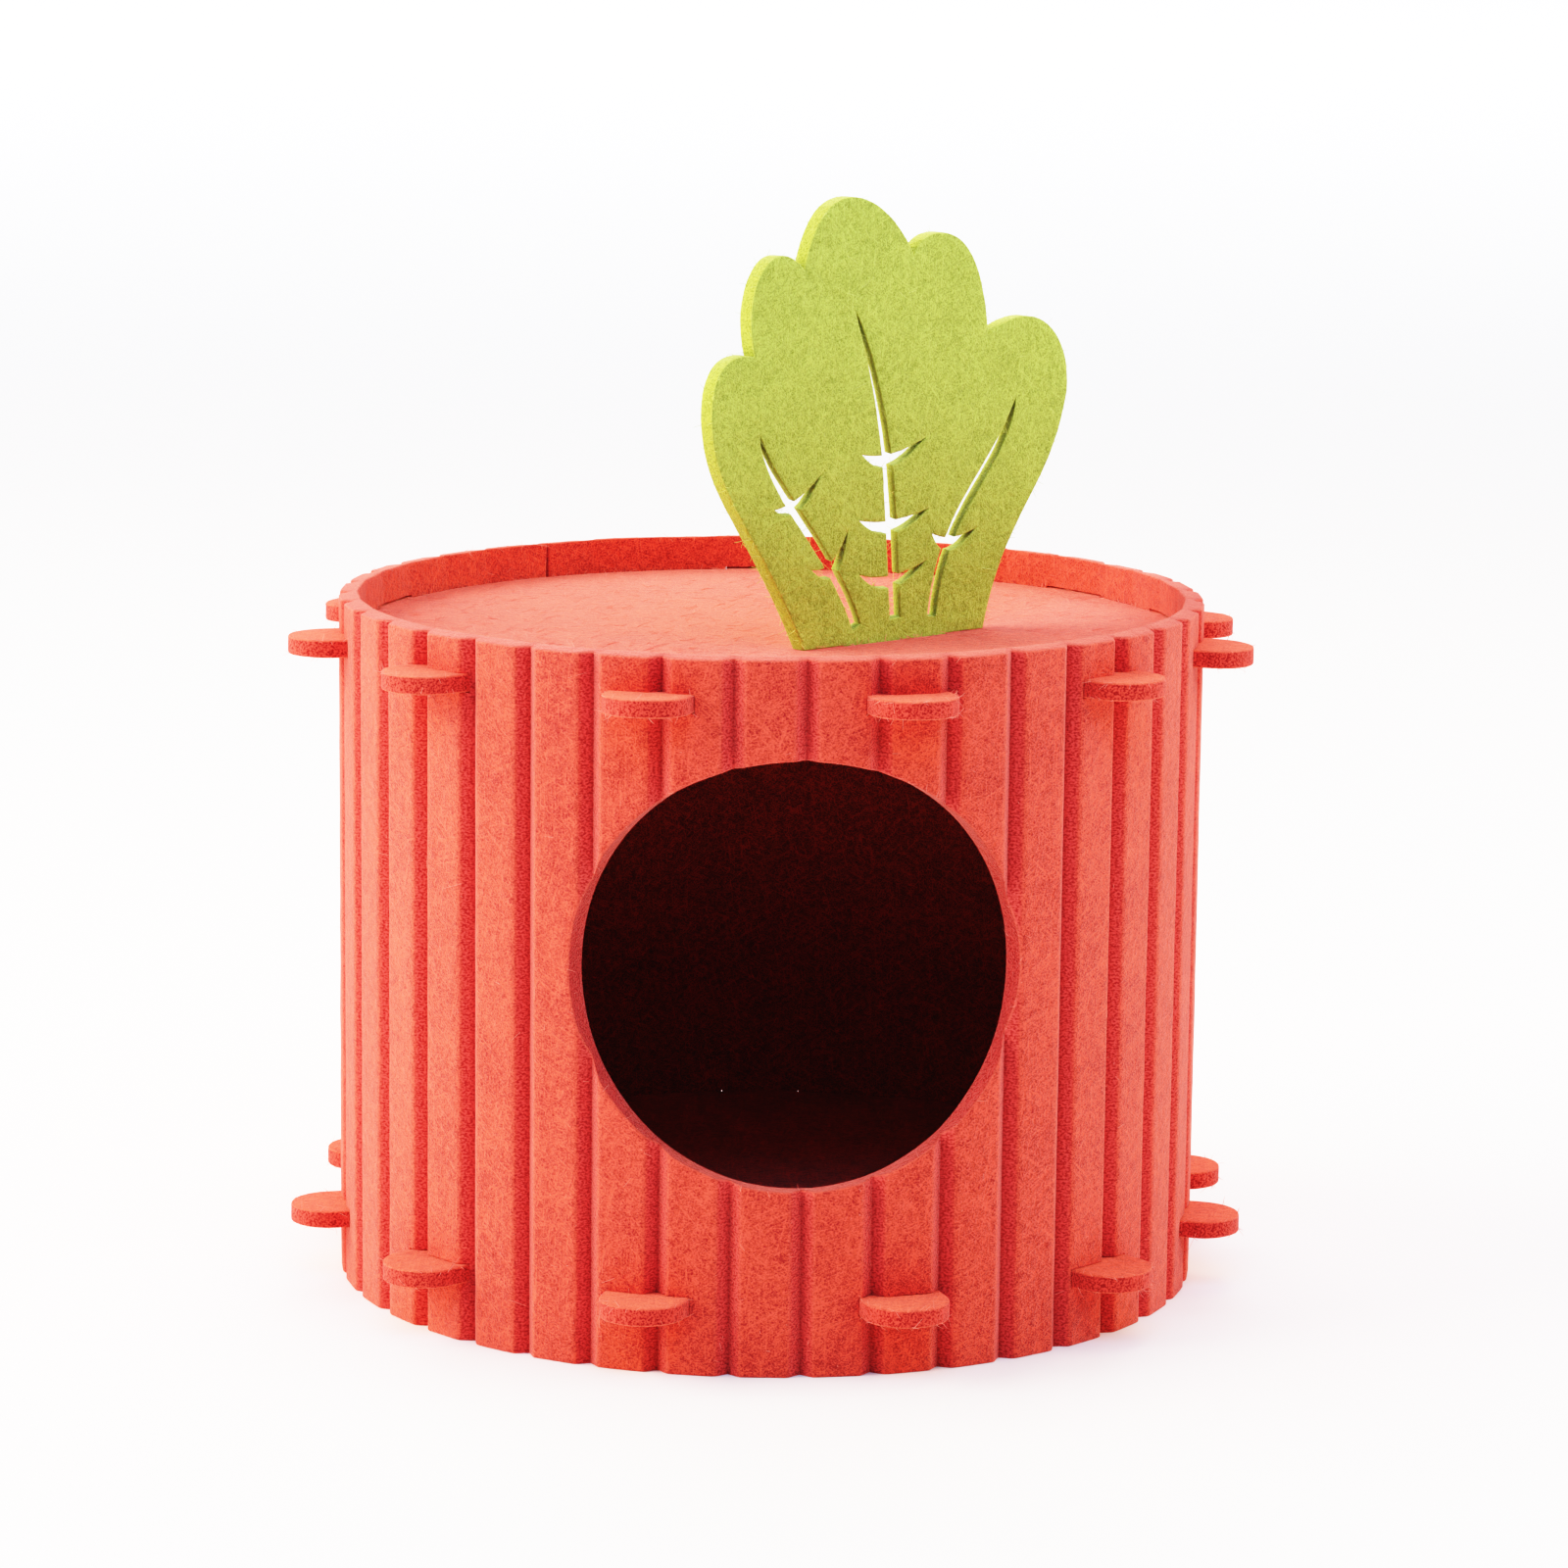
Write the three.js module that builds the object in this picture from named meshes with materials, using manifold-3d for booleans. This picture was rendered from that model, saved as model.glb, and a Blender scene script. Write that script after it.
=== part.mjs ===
// A hideout for a small pet, cut from thick felt and slotted together without glue or thread.
// One grooved strip is rolled into a drum with a round door. Two discs, the lid and the floor, hold it round:
// their tabs pass through slots in the wall. A green leaf stands on the lid, its tongue in a slot.
//
// Millimetres, +Z up. The origin is the middle of the footprint, on the surface that the drum stands on.
// The door faces -Y. Angles are in degrees, seen from above, from the middle of the door towards +X.

import * as THREE from "three";
import { mergeVertices } from "three/addons/utils/BufferGeometryUtils.js";
import Module from "manifold-3d";

// The wall: a strip whose outside has V grooves, so that it bends at each one.
const WALL_RADIUS = 125; // over the ribs
const WALL_HEIGHT = 198.5;
const WALL_FELT = 6;
const RIBS = 39;
const RIB_BY_THE_DOOR = -4; // the rib nearest to the door's middle
const GROOVE_WIDTH = 6.8;
const GROOVE_DEPTH = 3.5;
const SEAM_ANGLE = -148.7; // the strip's ends meet here, butted, on the side of a groove
const SEAM_GAP = 1.1;

// The door: a round hole cut in the flat strip before it is rolled.
const DOOR_WIDTH = 121;
const DOOR_HEIGHT = 119;
const DOOR_MIDDLE = 111.6; // above the surface

// The lid and the floor: two like discs with tabs.
const DISC_FELT = 5;
const DISC_CLEARANCE = 0.5; // to the wall's inside
const LID_TOP = 188.7;
const FLOOR_TOP = 22;
const TAB_WIDTH = 24;
const TAB_REACH = 15; // past the ribs
const TAB_TIP = 11.5; // length of the rounded end
const TAB_ANGLES = [-113.7, -83.7, -51.7, -19, 13.5, 44.8, 75, 99.9, 125.5, 151, 177];
const SLOT_END_ROOM = 0.9; // beside each tab
const SLOT_SIDE_ROOM = 0.4; // above and below it

// The leaf: upright on the lid, the middle of its foot here, turned with its right end further back.
const LEAF_FELT = 5;
const LEAF_PLACE = { x: 33.65, y: -24.8, turn: 37.2 };
const LEAF_GAP = 0.3; // between its foot and the lid
const TONGUE_WIDTH = 40;
const TONGUE_ROOM = 0.3; // all round, in the lid's slot
const CUT_SLANT = 25; // the veins' cuts lean this far to the right as they go back

// The leaf's outline, from the left end of its foot round to the right end, as curves with two pull points each.
const FOOT_HALF = 34.6;
const OUTLINE = [
  // pull 1 x, z; pull 2 x, z; end x, z
  [-54, 39, -68, 44, -69.6, 67], // left side
  [-70, 86, -58, 85, -54, 84], // first lobe
  [-58, 99, -52, 112, -44, 111.5], // second lobe
  [-41, 111.5, -38, 109.5, -36, 107.5],
  [-33, 119, -28, 126.7, -18.5, 126.7], // top lobe
  [-8, 126.7, 1, 117, 5, 109.8],
  [6.5, 113, 10, 115.4, 15, 115.4], // fourth lobe
  [26, 115.4, 32.6, 105, 34.9, 85.4],
  [54, 97, 68, 84, 66.6, 67], // fifth lobe
  [61, 38, 42, 33, FOOT_HALF, 0], // right side
];

// Veins cut right through the leaf: each follows a curve with two pull points from its blunt foot to a sharp
// top, as wide as stated up to the share of its length called full.
const VEINS = [
  { foot: [0, 6.2], pull: [-1.5, 24, -1, 62], top: [-16.5, 94.3], width: 4.2, full: 0.65 },
  { foot: [-14.8, 5], pull: [-25, 29, -47, 44.5], top: [-51.7, 61.6], width: 3.7, full: 0.67 },
  { foot: [14.1, 5.4], pull: [17, 36.5, 40, 45.5], top: [46.1, 66.1], width: 3.4, full: 0.8 },
];
const VEIN_TAPER = 0.5; // below 1, the width runs out slowly at first
// Side veins: sickle-shaped cuts from tip to tip, between a lower and an upper curve, each with one pull point.
const SIDE_VEINS = [
  { from: [-13.3, 53.9], to: [10.3, 57], low: [-4.5, 44.3], high: [-3, 51.5] },
  { from: [-13.8, 35.1], to: [12, 36.5], low: [-3, 25.6], high: [-3, 32.8] },
  { from: [-13.6, 19.6], to: [11.1, 21.4], low: [-3.2, 9.6], high: [-3, 16.4] },
  { from: [-46.1, 40.7], to: [-29.4, 48.9], low: [-37.5, 34.8], high: [-38, 41.4] },
  { from: [-31.9, 22.6], to: [-18.5, 32.6], low: [-21.8, 13.6], high: [-24, 21] },
  { from: [14, 29.6], to: [30.7, 29.5], low: [18.5, 18.3], high: [20.5, 25.8] },
];

// Fineness of the facets.
const ARC_STEPS = 8;
const DOOR_STEPS = 32;
const VEIN_STEPS = 12;

// Worked out from the sizes above.
const WALL_INSIDE = WALL_RADIUS - WALL_FELT;
const RIB_PITCH = 360 / RIBS;
const DISC_RADIUS = WALL_INSIDE - DISC_CLEARANCE;
const TAB_TIP_START = WALL_RADIUS + TAB_REACH - TAB_TIP;
const LID_UNDERSIDE = LID_TOP - DISC_FELT;
const FLOOR_UNDERSIDE = FLOOR_TOP - DISC_FELT;
const CUT_PAST = 20; // how far a cutter runs past what it cuts

const rad = THREE.MathUtils.degToRad;
const across = (width, radius) => THREE.MathUtils.radToDeg(width / radius);

const wasm = await Module();
wasm.setup();

// A closed geometry as a solid that can be joined and cut.
function toSolid(geometry) {
  geometry.deleteAttribute("normal");
  geometry.deleteAttribute("uv");
  const merged = mergeVertices(geometry);
  const vertProperties = merged.attributes.position.array;
  const triVerts = new Uint32Array(merged.index.array);
  return new wasm.Manifold(new wasm.Mesh({ numProp: 3, vertProperties, triVerts }));
}

// A solid as a geometry with flat faces.
function toGeometry(solid) {
  const { vertProperties, triVerts } = solid.getMesh();
  const indexed = new THREE.BufferGeometry();
  indexed.setAttribute("position", new THREE.BufferAttribute(vertProperties, 3));
  indexed.setIndex(new THREE.BufferAttribute(triVerts, 1));
  const geometry = indexed.toNonIndexed();
  geometry.computeVertexNormals();
  return geometry;
}

function extrude(shape, depth, steps = ARC_STEPS) {
  return new THREE.ExtrudeGeometry(shape, { depth, bevelEnabled: false, curveSegments: steps });
}

function felt(name, geometry, color, roughness) {
  const mesh = new THREE.Mesh(geometry, new THREE.MeshStandardMaterial({ color, roughness, metalness: 0 }));
  mesh.name = name;
  return mesh;
}

// A point of the plan, at an angle from the door.
function onPlan(radius, angle) {
  return new THREE.Vector2(radius * Math.sin(rad(angle)), -radius * Math.cos(rad(angle)));
}

// The wall seen from above: a ring, open at the seam, that is grooved outside and flat behind each rib.
function wallPlan() {
  const halfGroove = across(GROOVE_WIDTH / 2, WALL_RADIUS);
  const halfGap = across(SEAM_GAP / 2, WALL_RADIUS);
  const start = SEAM_ANGLE + halfGap;
  const end = SEAM_ANGLE + 360 - halfGap;
  const groovesFromRib = Math.round((SEAM_ANGLE - RIB_BY_THE_DOOR) / RIB_PITCH - 0.5) + 0.5;
  const seamGroove = RIB_BY_THE_DOOR + groovesFromRib * RIB_PITCH;
  const seamRadius = (angle) =>
    WALL_RADIUS - GROOVE_DEPTH * Math.max(0, 1 - Math.abs(angle - seamGroove) / halfGroove);

  const outside = [onPlan(seamRadius(start), start)];
  const inside = [onPlan(WALL_INSIDE, start)];
  const put = (list, radius, angle) => {
    if (angle > start && angle < end) list.push(onPlan(radius, angle));
  };
  for (let i = 0; i <= RIBS; i++) {
    const groove = seamGroove + i * RIB_PITCH;
    put(outside, WALL_RADIUS, groove - halfGroove);
    put(outside, WALL_RADIUS - GROOVE_DEPTH, groove);
    put(outside, WALL_RADIUS, groove + halfGroove);
    put(inside, WALL_INSIDE / Math.cos(rad(RIB_PITCH / 2)), groove);
  }
  outside.push(onPlan(seamRadius(end - 360), end));
  inside.push(onPlan(WALL_INSIDE, end));
  return new THREE.Shape([...outside, ...inside.reverse()]);
}

// The door's cutter: the ellipse of the flat strip, drawn outwards and then bent round with the wall.
function doorCutter() {
  const hole = new THREE.Shape();
  hole.absellipse(0, DOOR_MIDDLE, DOOR_WIDTH / 2, DOOR_HEIGHT / 2, 0, 2 * Math.PI);
  const cutter = extrude(hole, WALL_FELT + 2 * CUT_PAST, DOOR_STEPS);
  const position = cutter.attributes.position;
  for (let i = 0; i < position.count; i++) {
    const angle = position.getX(i) / WALL_INSIDE;
    const radius = WALL_INSIDE - CUT_PAST + position.getZ(i);
    position.setXYZ(i, radius * Math.sin(angle), -radius * Math.cos(angle), position.getY(i));
  }
  return toSolid(cutter);
}

// A slot through the wall for one tab of a disc.
function slotCutter(angle, discUnderside) {
  const width = TAB_WIDTH + 2 * SLOT_END_ROOM;
  const height = DISC_FELT + 2 * SLOT_SIDE_ROOM;
  const box = new THREE.BoxGeometry(width, WALL_FELT + CUT_PAST, height);
  box.translate(0, -(WALL_RADIUS + WALL_INSIDE) / 2, discUnderside + DISC_FELT / 2);
  box.rotateZ(rad(angle));
  return toSolid(box);
}

function wall() {
  let body = toSolid(extrude(wallPlan(), WALL_HEIGHT)).subtract(doorCutter());
  for (const angle of TAB_ANGLES)
    for (const underside of [LID_UNDERSIDE, FLOOR_UNDERSIDE])
      body = body.subtract(slotCutter(angle, underside));
  return toGeometry(body);
}

// A disc with its tabs: round between them, each tab straight and then rounded at its end.
function discPlan() {
  const plan = new THREE.Shape();
  const halfTab = Math.asin(TAB_WIDTH / 2 / DISC_RADIUS);
  let last = rad(TAB_ANGLES.at(-1) - 90) - 2 * Math.PI;
  for (const angle of TAB_ANGLES) {
    const turn = rad(angle - 90); // from +X, as arcs count it
    plan.absarc(0, 0, DISC_RADIUS, last + halfTab, turn - halfTab, false);
    const tip = onPlan(TAB_TIP_START, angle);
    plan.absellipse(tip.x, tip.y, TAB_TIP, TAB_WIDTH / 2, -Math.PI / 2, Math.PI / 2, false, turn);
    last = turn;
  }
  return plan;
}

function floorDisc() {
  return extrude(discPlan(), DISC_FELT);
}

// The lid is the same disc with a slot for the leaf's tongue.
function lidDisc() {
  const slot = new THREE.BoxGeometry(
    TONGUE_WIDTH + 2 * TONGUE_ROOM,
    LEAF_FELT + 2 * TONGUE_ROOM,
    DISC_FELT + CUT_PAST,
  );
  slot.translate(0, LEAF_FELT / 2, DISC_FELT / 2);
  slot.rotateZ(rad(LEAF_PLACE.turn));
  slot.translate(LEAF_PLACE.x, LEAF_PLACE.y, 0);
  return toGeometry(toSolid(extrude(discPlan(), DISC_FELT)).subtract(toSolid(slot)));
}

// The leaf's face, with its tongue under the foot.
function leafFace() {
  const tongueEnd = -(DISC_FELT + LEAF_GAP);
  const face = new THREE.Shape();
  face.moveTo(-FOOT_HALF, 0);
  for (const curve of OUTLINE) face.bezierCurveTo(...curve);
  face.lineTo(TONGUE_WIDTH / 2, 0);
  face.lineTo(TONGUE_WIDTH / 2, tongueEnd);
  face.lineTo(-TONGUE_WIDTH / 2, tongueEnd);
  face.lineTo(-TONGUE_WIDTH / 2, 0);
  face.closePath();
  return face;
}

// A vein's face.
function veinFace({ foot, pull, top, width, full }) {
  const [x1, z1, x2, z2] = pull;
  const middle = new THREE.CubicBezierCurve(
    new THREE.Vector2(...foot),
    new THREE.Vector2(x1, z1),
    new THREE.Vector2(x2, z2),
    new THREE.Vector2(...top),
  );
  const left = [];
  const right = [];
  for (let i = 0; i < VEIN_STEPS; i++) {
    const t = i / VEIN_STEPS;
    const half = (width / 2) * Math.min(1, (1 - t) / (1 - full)) ** VEIN_TAPER;
    const along = middle.getTangent(t);
    const aside = new THREE.Vector2(along.y, -along.x).multiplyScalar(half);
    const point = middle.getPoint(t);
    right.push(point.clone().add(aside));
    left.push(point.clone().sub(aside));
  }
  return new THREE.Shape([...right, middle.getPoint(1), ...left.reverse()]);
}

function sideVeinFace({ from, to, low, high }) {
  const face = new THREE.Shape();
  face.moveTo(...from);
  face.quadraticCurveTo(...low, ...to);
  face.quadraticCurveTo(...high, ...from);
  return face;
}

function leaf() {
  const lean = Math.tan(rad(CUT_SLANT));
  let body = toSolid(extrude(leafFace(), LEAF_FELT));
  for (const face of [...VEINS.map(veinFace), ...SIDE_VEINS.map(sideVeinFace)]) {
    const cutter = extrude(face, LEAF_FELT + 2 * CUT_PAST, VEIN_STEPS);
    cutter.translate(0, 0, -CUT_PAST - LEAF_FELT);
    cutter.applyMatrix4(new THREE.Matrix4().makeShear(0, 0, 0, 0, -lean, 0));
    cutter.translate(0, 0, LEAF_FELT);
    body = body.subtract(toSolid(cutter));
  }
  return toGeometry(body);
}

const hideout = new THREE.Group();

hideout.add(felt("wall", wall(), 0xe5523f, 0.95));

const lidMesh = felt("lid", lidDisc(), 0xfa8c74, 0.95);
lidMesh.position.z = LID_UNDERSIDE;
hideout.add(lidMesh);

const floorMesh = felt("floor", floorDisc(), 0xf0705a, 0.95);
floorMesh.position.z = FLOOR_UNDERSIDE;
hideout.add(floorMesh);

const leafStand = new THREE.Group();
leafStand.position.set(LEAF_PLACE.x, LEAF_PLACE.y, LID_TOP + LEAF_GAP);
leafStand.rotation.z = rad(LEAF_PLACE.turn);
const leafMesh = felt("leaf", leaf(), 0xbacd54, 0.95);
leafMesh.rotation.x = Math.PI / 2;
leafMesh.position.y = LEAF_FELT;
leafStand.add(leafMesh);
hideout.add(leafStand);

export default hideout;
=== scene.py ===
# %% [markdown]
# # A felt hideout for a small pet, built in Blender
#
# The real object is four pieces of thick needled felt that slot together with no glue or thread: a strip
# rolled into a drum, two round discs whose tabs reach out through the strip, and a green leaf that stands
# on the upper disc. Each piece is cut flat and then bent or stood up. This lesson works in the same order:
# cut it flat, break its sharp edges, score it, then roll it. Lengths are in metres, +Z is up, and the door
# faces -Y.

# %% Load the measured model
import math

import bmesh
import bpy
import numpy as np
from mathutils import Matrix, Vector, geometry, noise


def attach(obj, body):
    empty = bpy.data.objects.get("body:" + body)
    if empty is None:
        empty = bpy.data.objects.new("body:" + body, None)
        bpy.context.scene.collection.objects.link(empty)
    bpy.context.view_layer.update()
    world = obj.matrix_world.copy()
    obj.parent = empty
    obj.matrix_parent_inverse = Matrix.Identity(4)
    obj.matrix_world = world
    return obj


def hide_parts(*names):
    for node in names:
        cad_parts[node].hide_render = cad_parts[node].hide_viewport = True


MM = 0.001
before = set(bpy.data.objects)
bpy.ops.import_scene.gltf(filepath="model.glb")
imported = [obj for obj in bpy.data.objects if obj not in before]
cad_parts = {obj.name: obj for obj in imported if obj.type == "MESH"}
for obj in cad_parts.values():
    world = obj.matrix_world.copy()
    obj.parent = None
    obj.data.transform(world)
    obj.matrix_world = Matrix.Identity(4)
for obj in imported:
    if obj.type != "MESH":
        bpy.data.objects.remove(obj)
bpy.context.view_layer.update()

# %% [markdown]
# ## The camera
#
# The photograph was taken from about 1.6 m away, a little above the lid, with a long lens, so the drum's
# two rims look almost alike. A wide lens close by would frame it the same way but would bend the ribs apart.
# The place and the angles below were found by matching the rim, the foot and the grooves.

# %% Set up the camera
SENSOR_WIDTH = 36  # mm, as the lens
LENS = 125.23
CAMERA_PLACE = (-0.10897, -1.55836, 0.42714)
HEADING = math.radians(-4.152)
PITCH = math.radians(10.331)  # how far it looks down
ROLL = math.radians(0.6248)

camera_data = bpy.data.cameras.new("long_lens")
camera_data.sensor_width = SENSOR_WIDTH
camera_data.lens = LENS
camera_data.clip_start = 0.05
camera_data.clip_end = 60
camera = bpy.data.objects.new("camera", camera_data)
bpy.context.scene.collection.objects.link(camera)
bpy.context.scene.camera = camera
camera.location = CAMERA_PLACE
turn = Matrix.Rotation(HEADING, 4, "Z") @ Matrix.Rotation(math.pi / 2 - PITCH, 4, "X")
camera.rotation_euler = (turn @ Matrix.Rotation(ROLL, 4, "Z")).to_euler()
print("camera looks along", [round(x, 4) for x in (turn @ Vector((0, 0, -1, 0)))[:3]])

# %% [markdown]
# ## Helpers for cutting felt
#
# A cut piece starts as a plain outline that is given a thickness. Holes are cut out of it with a Boolean
# modifier, which is what a punch does. Doing this while the piece is flat and has few faces keeps every
# edge clean, so the edges can be rounded with a bevel afterwards. A small offcut tries each helper first.


# %% Give an outline a thickness
def thicken(bm, faces, depth):
    """Draws the faces out along depth into a solid."""
    drawn = bmesh.ops.extrude_face_region(bm, geom=faces)["geom"]
    bmesh.ops.translate(bm, vec=depth, verts=[v for v in drawn if isinstance(v, bmesh.types.BMVert)])


def prism(outline, depth):
    """A closed solid with this outline."""
    bm = bmesh.new()
    thicken(bm, [bm.faces.new([bm.verts.new(p) for p in outline])], depth)
    bmesh.ops.recalc_face_normals(bm, faces=bm.faces)
    return bm


def report(name, bm):
    open_edges = sum(not e.is_manifold for e in bm.edges)
    print(f"{name}: {len(bm.verts)} points, {len(bm.faces)} faces, {open_edges} open edges")


offcut = prism([(0, 0, 0), (30 * MM, 0, 0), (0, 0, 30 * MM)], (0, 5 * MM, 0))
report("offcut", offcut)


# %% Cut one shape from another
def as_object(name, bm):
    """The bmesh as an object of the scene. The bmesh itself is used up."""
    mesh = bpy.data.meshes.new(name)
    bm.to_mesh(mesh)
    bm.free()
    piece = bpy.data.objects.new(name, mesh)
    bpy.context.scene.collection.objects.link(piece)
    return piece


def combine(body, tools, operation):
    """The body with the tools' shapes cut from it or joined to it, as a new bmesh."""
    body = as_object("body", body)
    tools = [as_object("tool", tool) for tool in tools]
    for tool in tools:
        modifier = body.modifiers.new("combine", "BOOLEAN")
        modifier.operation = operation
        modifier.solver = "EXACT"
        modifier.object = tool
    bm = bmesh.new()
    bm.from_object(body, bpy.context.evaluated_depsgraph_get())
    for used in [body, *tools]:
        bpy.data.meshes.remove(used.data)
    return bm


hole = prism([(5 * MM, -MM, 5 * MM), (12 * MM, -MM, 5 * MM), (5 * MM, -MM, 12 * MM)], (0, 7 * MM, 0))
offcut = combine(offcut, [hole], "DIFFERENCE")
report("offcut with a hole", offcut)


# %% Round the sharp edges of both faces
CORNER_TURN = 0.6  # radians between two faces that meet at a corner


def in_a_face(edge, axis, felt):
    """Whether an edge lies in one of the sheet's two faces. The sheet's depth runs along axis."""
    depths = [v.co[axis] for v in edge.verts]
    return max(depths) < 0.001 * MM or min(depths) > felt - 0.001 * MM


def round_arrises(bm, is_arris, radius):
    """Bevels the edges that is_arris picks, where two faces meet at a corner."""
    edges = [e for e in bm.edges if e.is_manifold and e.calc_face_angle() > CORNER_TURN and is_arris(e)]
    bmesh.ops.bevel(
        bm,
        geom=edges,
        offset=radius,
        offset_type="OFFSET",
        affect="EDGES",
        segments=3,
        profile=0.5,
        material=-1,
        miter_outer="ARC",
        clamp_overlap=False,
    )
    print(f"rounded {len(edges)} edges by {radius / MM:.2f} mm")


round_arrises(offcut, lambda edge: in_a_face(edge, 1, 5 * MM), 0.5 * MM)


# %% Score a piece with parallel cuts
def score(bm, axis, places, faces=None):
    """Cuts every face along planes across the axis. Halving the list keeps each cut to few faces."""
    faces = list(bm.faces) if faces is None else faces
    if not places or not faces:
        return
    middle = len(places) // 2
    place, normal = Vector(), Vector()
    place[axis], normal[axis] = places[middle], 1.0
    parts = {e for f in faces for e in f.edges} | {v for f in faces for v in f.verts}
    made = bmesh.ops.bisect_plane(
        bm, geom=list(parts) + faces, dist=1e-7, plane_co=place, plane_no=normal
    )["geom"]
    made = [f for f in made if isinstance(f, bmesh.types.BMFace)]
    near = [f for f in made if f.calc_center_median()[axis] < places[middle]]
    far = [f for f in made if f.calc_center_median()[axis] >= places[middle]]
    score(bm, axis, places[:middle], near)
    score(bm, axis, places[middle + 1 :], far)


score(offcut, 0, [8 * MM, 16 * MM, 24 * MM])
report("scored offcut", offcut)
offcut.free()

# %% [markdown]
# ## The wall, cut flat
#
# The wall is a strip of 6 mm felt, cut while flat: a round door and two rows of slots for the discs' tabs.
# In the flat, x runs along the strip, y is the depth with the drum's inside at 0, and z is the height.
# One degree of the drum is a fixed length of strip, measured at the inside of the felt.

# %% Lay out the strip
WALL_RADIUS = 125 * MM  # over the ribs
WALL_HEIGHT = 198.5 * MM
WALL_FELT = 6 * MM
WALL_INSIDE = WALL_RADIUS - WALL_FELT
RIBS = 39
RIB_BY_THE_DOOR = -4  # the angle of the rib nearest to the door's middle
SEAM_ANGLE = -148.7
SEAM_GAP = 1.1 * MM
RIB_PITCH = 360 / RIBS


def along_strip(angle):
    return math.radians(angle) * WALL_INSIDE


half_gap = math.degrees(SEAM_GAP / 2 / WALL_RADIUS)
STRIP_START = along_strip(SEAM_ANGLE + half_gap)
STRIP_END = along_strip(SEAM_ANGLE + 360 - half_gap)
ends = [(STRIP_START, 0, 0), (STRIP_END, 0, 0), (STRIP_END, 0, WALL_HEIGHT), (STRIP_START, 0, WALL_HEIGHT)]
strip = prism(ends, (0, WALL_FELT, 0))
print(f"strip {(STRIP_END - STRIP_START) / MM:.1f} mm long")

# %% Measure the door and the slots
DOOR_WIDTH = 121 * MM
DOOR_HEIGHT = 119 * MM
DOOR_MIDDLE = 111.6 * MM
DOOR_FLARE = 0.0215  # the cut opens by this share of the width from the inside to the ribs
ROUND_SIDES = 240  # sides of a large round cut
DISC_FELT = 5 * MM
LID_TOP = 188.7 * MM
FLOOR_TOP = 22 * MM
TAB_WIDTH = 24 * MM
TAB_ANGLES = [-113.7, -83.7, -51.7, -19, 13.5, 44.8, 75, 99.9, 125.5, 151, 177]
SLOT_ROOM = 0.2 * MM  # on each side of a tab
print(f"door {DOOR_WIDTH / MM:.0f} by {DOOR_HEIGHT / MM:.0f} mm, {2 * len(TAB_ANGLES)} slots")

# %% Punch the door and the slots
punch = bmesh.new()
upright = Matrix.Translation((0, -WALL_FELT, DOOR_MIDDLE)) @ Matrix.Rotation(math.pi / 2, 4, "X")
oval = Matrix.Diagonal((DOOR_WIDTH / 2, DOOR_HEIGHT / 2, 1, 1))
bmesh.ops.create_circle(punch, cap_ends=True, segments=ROUND_SIDES, radius=1, matrix=upright @ oval)
thicken(punch, punch.faces[:], (0, 3 * WALL_FELT, 0))
for v in punch.verts:
    v.co.x *= 1 + DOOR_FLARE * v.co.y / WALL_FELT
for angle in TAB_ANGLES:
    for top in (LID_TOP, FLOOR_TOP):
        place = Matrix.Translation((along_strip(angle), WALL_FELT / 2, top - DISC_FELT / 2))
        size = Matrix.Diagonal((TAB_WIDTH + 2 * SLOT_ROOM, 2 * WALL_FELT, DISC_FELT + 2 * SLOT_ROOM, 1))
        corners = bmesh.ops.create_cube(punch, size=1, matrix=place @ size)["verts"]
        for v in corners:  # narrower outside, where rolling will spread the felt
            v.co.x = place[0][3] + (v.co.x - place[0][3]) * WALL_INSIDE / (WALL_INSIDE + v.co.y)
bmesh.ops.recalc_face_normals(punch, faces=punch.faces)
strip = combine(strip, [punch], "DIFFERENCE")
report("punched strip", strip)

# %% Break the strip's sharp edges
ARRIS = 0.5 * MM


def at_slot(edge):
    """Whether an edge belongs to a slot, whose felt presses against a tab and stays sharp."""
    heights = [v.co.z for v in edge.verts]
    off = min(max(abs(z - top + DISC_FELT / 2) for z in heights) for top in (LID_TOP, FLOOR_TOP))
    return off < DISC_FELT / 2 + 1.1 * SLOT_ROOM


round_arrises(strip, lambda edge: in_a_face(edge, 1, WALL_FELT) and not at_slot(edge), ARRIS)
report("strip", strip)

# %% [markdown]
# ## The grooves
#
# V grooves cut half way through the felt let the strip bend. They could be cut with more Booleans, but it is
# cleaner to score the strip into columns that follow each groove's section, and then to press the columns in
# when the strip is rolled.

# %% Score the strip where it will bend
GROOVE_HALF = 3.4 * MM  # half the width, measured over the ribs
GROOVE_DEPTH = 3.5 * MM
ROWS = 30  # up the wall, and one more close to each of its edges
ROW_BY_THE_EDGE = 1.5 * MM

first_groove = RIB_BY_THE_DOOR + (math.floor((SEAM_ANGLE - RIB_BY_THE_DOOR) / RIB_PITCH) + 0.5) * RIB_PITCH
grooves = [first_groove + i * RIB_PITCH for i in range(-1, RIBS + 2)]
crest_edge = GROOVE_HALF * WALL_INSIDE / WALL_RADIUS
rib_middle = along_strip(RIB_PITCH / 2)
# The columns' distances from a groove's middle: dense across the V and its lip, wide over the flat rib.
section = [0.0, 1.2 * MM, 2.2 * MM, crest_edge - 0.4 * MM, crest_edge, crest_edge + 0.5 * MM]
section += [crest_edge + 1.2 * MM, (crest_edge + 1.2 * MM + rib_middle) / 2, rib_middle]
columns = {round(along_strip(g) + side * x, 7) for g in grooves for x in section for side in (-1, 1)}
columns = sorted(x for x in columns if STRIP_START + 0.2 * MM < x < STRIP_END - 0.2 * MM)
rows = [WALL_HEIGHT * (i + 0.5) / ROWS for i in range(ROWS)]
rows += [ROW_BY_THE_EDGE, WALL_HEIGHT - ROW_BY_THE_EDGE]
score(strip, 0, columns)
score(strip, 1, [WALL_FELT / 3, WALL_FELT * 2 / 3])
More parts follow.
